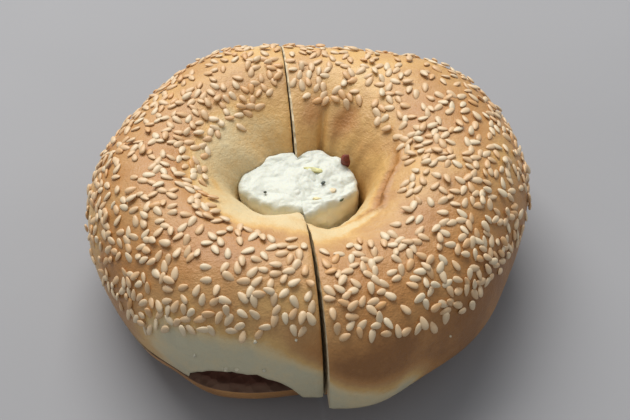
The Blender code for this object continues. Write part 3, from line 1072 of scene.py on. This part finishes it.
def make_cheese(name, cheese):
    """The cheese in the hole, and the layer of it between the halves."""
    bm = bmesh.new()
    bread_bounce = bm.verts.layers.float.new("bread_bounce")
    made = bmesh.ops.create_uvsphere(bm, u_segments=PLUG_TURNS, v_segments=PLUG_RINGS, radius=1.0)
    for vertex in made["verts"]:
        theta = math.atan2(vertex.co.y, vertex.co.x)
        share = math.acos(max(-1.0, min(1.0, vertex.co.z))) / math.pi
        vertex.co = plug_point(theta, share, cheese)
        # Painted bounce light on the sides and base, none on the top.
        vertex[bread_bounce] = ease(share, TOP_SHARE + 0.04, SHOULDER_SHARE + 0.12)
    add_layer(bm, "left")
    add_layer(bm, "right")
    bmesh.ops.transform(bm, matrix=Matrix.Translation(RING_AT), verts=bm.verts)
    for face in bm.faces:
        face.smooth = True
    bmesh.ops.recalc_face_normals(bm, faces=bm.faces)
    return finished_piece(bm, name)


def add_layer(bm, side):
    """The thin layer of cheese between the halves, on one side of the knife cut."""
    layer = bmesh.new()
    layer.verts.layers.float.new("bread_bounce")
    bmesh.ops.create_cone(
        layer, cap_ends=True, segments=LAYER_SIDES, radius1=1.0, radius2=1.0,
        depth=LAYER_BELOW + LAYER_ABOVE,
    )
    for vertex in layer.verts:
        theta = math.atan2(vertex.co.y, vertex.co.x)
        mouth = LAYER_MOUTH_MARGIN * bell(math.degrees(theta), MOUTH_AT, LAYER_MOUTH_SPREAD)
        radius = outer_radius(theta) - LAYER_MARGIN - mouth
        vertex.co.x = radius * math.cos(theta)
        vertex.co.y = radius * math.sin(theta)
        vertex.co.z += SLICE_HEIGHT + (LAYER_ABOVE - LAYER_BELOW) / 2
    hand = SIDES[side]
    bmesh.ops.bisect_plane(
        layer,
        geom=list(layer.verts) + list(layer.edges) + list(layer.faces),
        plane_co=(CUT_X + hand * CUT_GAP / 2, 0.0, 0.0),
        plane_no=(hand, 0.0, 0.0),
        clear_inner=True,
    )
    bmesh.ops.holes_fill(layer, edges=[e for e in layer.edges if e.is_boundary], sides=0)
    bmesh.ops.recalc_face_normals(layer, faces=layer.faces)
    append(bm, layer)


# Bits

# Small things on the cheese: name, place, size, turn about Z in degrees, colour.
BITS = (
    ("crumb", (0.0090, 0.0066, 0.0292), (0.0012, 0.0010, 0.0020), 15.0, (0.20, 0.045, 0.030)),
    ("herb", (0.0011, 0.0052, 0.0283), (0.0024, 0.0008, 0.0003), -18.0, (0.62, 0.60, 0.28)),
    ("fleck", (0.0027, 0.0010, 0.0281), (0.0006, 0.0004, 0.0004), 25.0, (0.10, 0.13, 0.12)),
    ("fleck", (-0.0114, -0.0002, 0.0279), (0.0004, 0.0003, 0.0003), 20.0, (0.06, 0.07, 0.05)),
    ("fleck", (0.0064, -0.0047, 0.0278), (0.0006, 0.0003, 0.0003), 35.0, (0.06, 0.08, 0.04)),
    ("zest", (0.0007, -0.0036, 0.0276), (0.0006, 0.0011, 0.0004), 80.0, (0.76, 0.66, 0.36)),
    ("zest", (0.0043, -0.0015, 0.0277), (0.0013, 0.0007, 0.0003), 25.0, (0.80, 0.68, 0.46)),
)
# Crumbs on the crust: name, plan angle and section angle in degrees, size, colour.
LOOSE = (
    ("speck", 231.5, 104.0, 0.0003, (0.03, 0.025, 0.02)),
    ("flour", 236.0, 17.0, 0.0004, (0.62, 0.58, 0.44)),
    ("flour", 243.5, 12.0, 0.0005, (0.66, 0.60, 0.44)),
    ("flour", 246.0, 13.0, 0.0004, (0.66, 0.60, 0.44)),
    ("flour", 252.5, 15.0, 0.0004, (0.62, 0.58, 0.44)),
    ("flour", 250.0, 34.0, 0.0004, (0.72, 0.66, 0.50)),
    ("flour", 260.0, 37.0, 0.0003, (0.72, 0.66, 0.50)),
    ("flour", 300.0, 16.0, 0.0003, (0.66, 0.56, 0.38)),
)


def add_bit(bm, number, place, size, turn):
    """One crumb or fleck: a small ball, squashed, turned and roughened."""
    verts = bmesh.ops.create_icosphere(bm, subdivisions=3, radius=1.0)["verts"]
    for vertex in verts:
        bump = noise.noise(vertex.co * 1.4 + Vector((number * 7.0, 0.0, 0.0)))
        vertex.co *= 1.0 + 0.35 * bump
    bmesh.ops.scale(bm, verts=verts, vec=size)
    bmesh.ops.rotate(bm, verts=verts, matrix=Matrix.Rotation(math.radians(turn), 3, "Z"))
    bmesh.ops.translate(bm, verts=verts, vec=place)


def loose_place(angle, section, dough):
    """Where a crumb lies on the upper bread, as it stands after the cut and the slip."""
    point, _ = skin_frame(math.radians(angle), math.radians(section), dough)
    side = "right" if point.x > CUT_X else "left"
    return placement(side) @ (slipped(point) if side == "right" else point)


def make_bits(name, dough):
    """All the small things as one mesh, with a material for each."""
    bits = [(place, size, turn) for _, place, size, turn, _ in BITS]
    for _, angle, section, size, _ in LOOSE:
        bits.append((loose_place(angle, section, dough), (size * 1.3, size, size), angle))
    bm = bmesh.new()
    for number, (place, size, turn) in enumerate(bits):
        before = len(bm.faces)
        add_bit(bm, number, place, size, turn)
        bm.faces.ensure_lookup_table()
        for face in bm.faces[before:]:
            face.material_index = number
            face.smooth = True
    return finished_piece(bm, name)


# Operators


class PieceOperator:
    """What every operator here has in common."""

    bl_options = {"REGISTER", "UNDO"}


class BAGEL_OT_upper_bread(PieceOperator, bpy.types.Operator):
    """Builds the upper bread on both sides of the knife cut."""

    bl_idname = "bagel.upper_bread"
    bl_label = "Upper bread"

    def execute(self, context):
        dough = context.scene.bagel_dough
        crust, crumb = crust_material("baked_crust", dough), crumb_material("bread_crumb", dough)
        for side in SIDES:
            piece = make_bread("upper_bread_" + side, side, "top", dough)
            piece.data.materials.append(crust)
            piece.data.materials.append(crumb)
            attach(piece, "root")
            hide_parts("top_" + side)
        return {"FINISHED"}


class BAGEL_OT_lower_bread(PieceOperator, bpy.types.Operator):
    """Builds the lower bread on both sides of the knife cut."""

    bl_idname = "bagel.lower_bread"
    bl_label = "Lower bread"

    def execute(self, context):
        dough = context.scene.bagel_dough
        crust = crust_material("base_crust", dough)
        crumb = crumb_material("base_crumb", dough)
        for side in SIDES:
            piece = make_bread("lower_bread_" + side, side, "bottom", dough)
            piece.data.materials.append(crust)
            piece.data.materials.append(crumb)
            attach(piece, "root")
            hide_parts("bottom_" + side)
        return {"FINISHED"}


class BAGEL_OT_seeds(PieceOperator, bpy.types.Operator):
    """Scatters the sesame seeds over the upper bread."""

    bl_idname = "bagel.seeds"
    bl_label = "Seeds"

    def execute(self, context):
        scene = context.scene
        skin = seed_material("sesame_hull", scene.bagel_seeds)
        for side in SIDES:
            piece = make_seeds("seeds_" + side, side, scene.bagel_seeds, scene.bagel_dough)
            piece.data.materials.append(skin)
            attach(piece, "root")
        return {"FINISHED"}


class BAGEL_OT_cheese(PieceOperator, bpy.types.Operator):
    """Builds the soft cheese in the hole and between the halves."""

    bl_idname = "bagel.cheese"
    bl_label = "Cheese"

    def execute(self, context):
        cheese = context.scene.bagel_cheese
        piece = make_cheese("spread", cheese)
        piece.data.materials.append(cheese_material("soft_curd", cheese))
        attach(piece, "root")
        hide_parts("cheese_left", "cheese_right")
        return {"FINISHED"}


class BAGEL_OT_bits(PieceOperator, bpy.types.Operator):
    """Adds the crumb, herb, zest and flecks in the cheese and the crumbs on the crust."""

    bl_idname = "bagel.bits"
    bl_label = "Bits and crumbs"

    def execute(self, context):
        piece = make_bits("bits", context.scene.bagel_dough)
        for number, (kind, *_, colour) in enumerate(BITS + LOOSE):
            piece.data.materials.append(plain_material(f"{kind}_{number}", colour))
        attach(piece, "root")
        return {"FINISHED"}


class BAGEL_OT_stage(PieceOperator, bpy.types.Operator):
    """Sets up the floor, the lights and the camera."""

    bl_idname = "bagel.stage"
    bl_label = "Stage"

    def execute(self, context):
        stage = context.scene.bagel_stage
        make_floor(stage)
        make_lights(stage)
        make_camera(stage)
        return {"FINISHED"}


def make_floor(stage):
    bm = bmesh.new()
    bmesh.ops.create_grid(bm, x_segments=1, y_segments=1, size=3.0)
    floor = finished_piece(bm, "floor")
    paint = Finish("pale_floor")
    base = tuple(stage.floor)
    light = tuple(min(1.0, c * 1.06) for c in base)
    paint.give("Base Color", paint.ramp(paint.cloud(9.0, 2.0), ((0.3, base), (0.7, light))))
    paint.give("Roughness", 0.8)
    floor.data.materials.append(paint.material)


def aimed(obj, place, target):
    """Puts a light at place, facing target."""
    obj.location = place
    obj.rotation_euler = (Vector(target) - Vector(place)).to_track_quat("-Z", "Y").to_euler()
    bpy.context.scene.collection.objects.link(obj)


LIGHT_SIZE = (0.9, 0.7)
LIGHT_AT = (-0.12, 0.62, 0.86)
LIGHT_TARGET = (0.0, 0.0, 0.02)
LIGHT_COLOUR = (1.0, 0.985, 0.965)
SKY_COLOUR = (0.93, 0.96, 1.0, 1.0)


def make_lights(stage):
    """One big soft light high behind, and an even sky."""
    light = bpy.data.lights.new("high_light", "AREA")
    light.shape = "RECTANGLE"
    light.size, light.size_y = LIGHT_SIZE
    light.energy = stage.key_power
    light.color = LIGHT_COLOUR
    aimed(bpy.data.objects.new("high_light", light), LIGHT_AT, LIGHT_TARGET)
    world = bpy.context.scene.world or bpy.data.worlds.new("sky")
    bpy.context.scene.world = world
    world.use_nodes = True
    sky = world.node_tree.nodes["Background"]
    sky.inputs["Color"].default_value = SKY_COLOUR
    sky.inputs["Strength"].default_value = stage.sky


# Where the photograph's frame holds the bagel's middle, in pixels of 630 x 420.
FRAME_WIDTH = 630.0
FRAME_CENTRE = (315.0, 210.0)
AIM_PIXEL = (310.0, 205.0)
AIM_HEIGHT = 0.018
SENSOR = 36.0


def make_camera(stage):
    """The photograph's view: slid sideways so that the bagel's middle lands on its pixel."""
    camera = bpy.data.cameras.new("camera")
    camera.sensor_width = SENSOR
    camera.lens = stage.lens
    obj = bpy.data.objects.new("camera", camera)
    bpy.context.scene.collection.objects.link(obj)
    turn, rise = stage.azimuth, stage.elevation
    back = Vector(
        (math.sin(turn) * math.cos(rise), -math.cos(turn) * math.cos(rise), math.sin(rise))
    )
    right = Vector((0.0, 0.0, 1.0)).cross(back).normalized()
    up = back.cross(right)
    pixel = SENSOR / stage.lens / FRAME_WIDTH * stage.distance
    aim = RING_AT + Vector((0.0, 0.0, AIM_HEIGHT))
    place = (
        aim
        + back * stage.distance
        - right * (AIM_PIXEL[0] - FRAME_CENTRE[0]) * pixel
        + up * (AIM_PIXEL[1] - FRAME_CENTRE[1]) * pixel
    )
    pose = Matrix((right, up, back)).transposed().to_4x4()
    pose.translation = place
    obj.matrix_world = pose
    bpy.context.scene.camera = obj


STEPS = (
    ("bagel.upper_bread", "MESH_TORUS"),
    ("bagel.lower_bread", "MESH_TORUS"),
    ("bagel.seeds", "PARTICLES"),
    ("bagel.cheese", "MESH_UVSPHERE"),
    ("bagel.bits", "DOT"),
    ("bagel.stage", "LIGHT_AREA"),
)


class BAGEL_PT_panel(bpy.types.Panel):
    """Lists the bagel's pieces in the sidebar."""

    bl_label = "Bagel"
    bl_idname = "BAGEL_PT_panel"
    bl_space_type = "VIEW_3D"
    bl_region_type = "UI"
    bl_category = "Bagel"

    def draw(self, context):
        for name, icon in STEPS:
            self.layout.operator(name, icon=icon)
        for group in GROUPS:
            settings = getattr(context.scene, group)
            for key in settings.__annotations__:
                self.layout.prop(settings, key)


GROUPS = {
    "bagel_dough": BagelDough,
    "bagel_seeds": BagelSeeds,
    "bagel_cheese": BagelCheese,
    "bagel_stage": BagelStage,
}
CLASSES = (
    *GROUPS.values(),
    BAGEL_OT_upper_bread,
    BAGEL_OT_lower_bread,
    BAGEL_OT_seeds,
    BAGEL_OT_cheese,
    BAGEL_OT_bits,
    BAGEL_OT_stage,
    BAGEL_PT_panel,
)


def register():
    for cls in CLASSES:
        bpy.utils.register_class(cls)
    for name, group in GROUPS.items():
        setattr(bpy.types.Scene, name, PointerProperty(type=group))


def unregister():
    for name in GROUPS:
        delattr(bpy.types.Scene, name)
    for cls in reversed(CLASSES):
        bpy.utils.unregister_class(cls)


def main():
    register()
    bpy.ops.bagel.upper_bread()
    bpy.ops.bagel.lower_bread()
    bpy.ops.bagel.seeds()
    bpy.ops.bagel.cheese()
    bpy.ops.bagel.bits()
    bpy.ops.bagel.stage()
    bpy.context.scene.view_settings.view_transform = "Standard"
    bpy.context.view_layer.update()


if __name__ == "__main__":
    main()
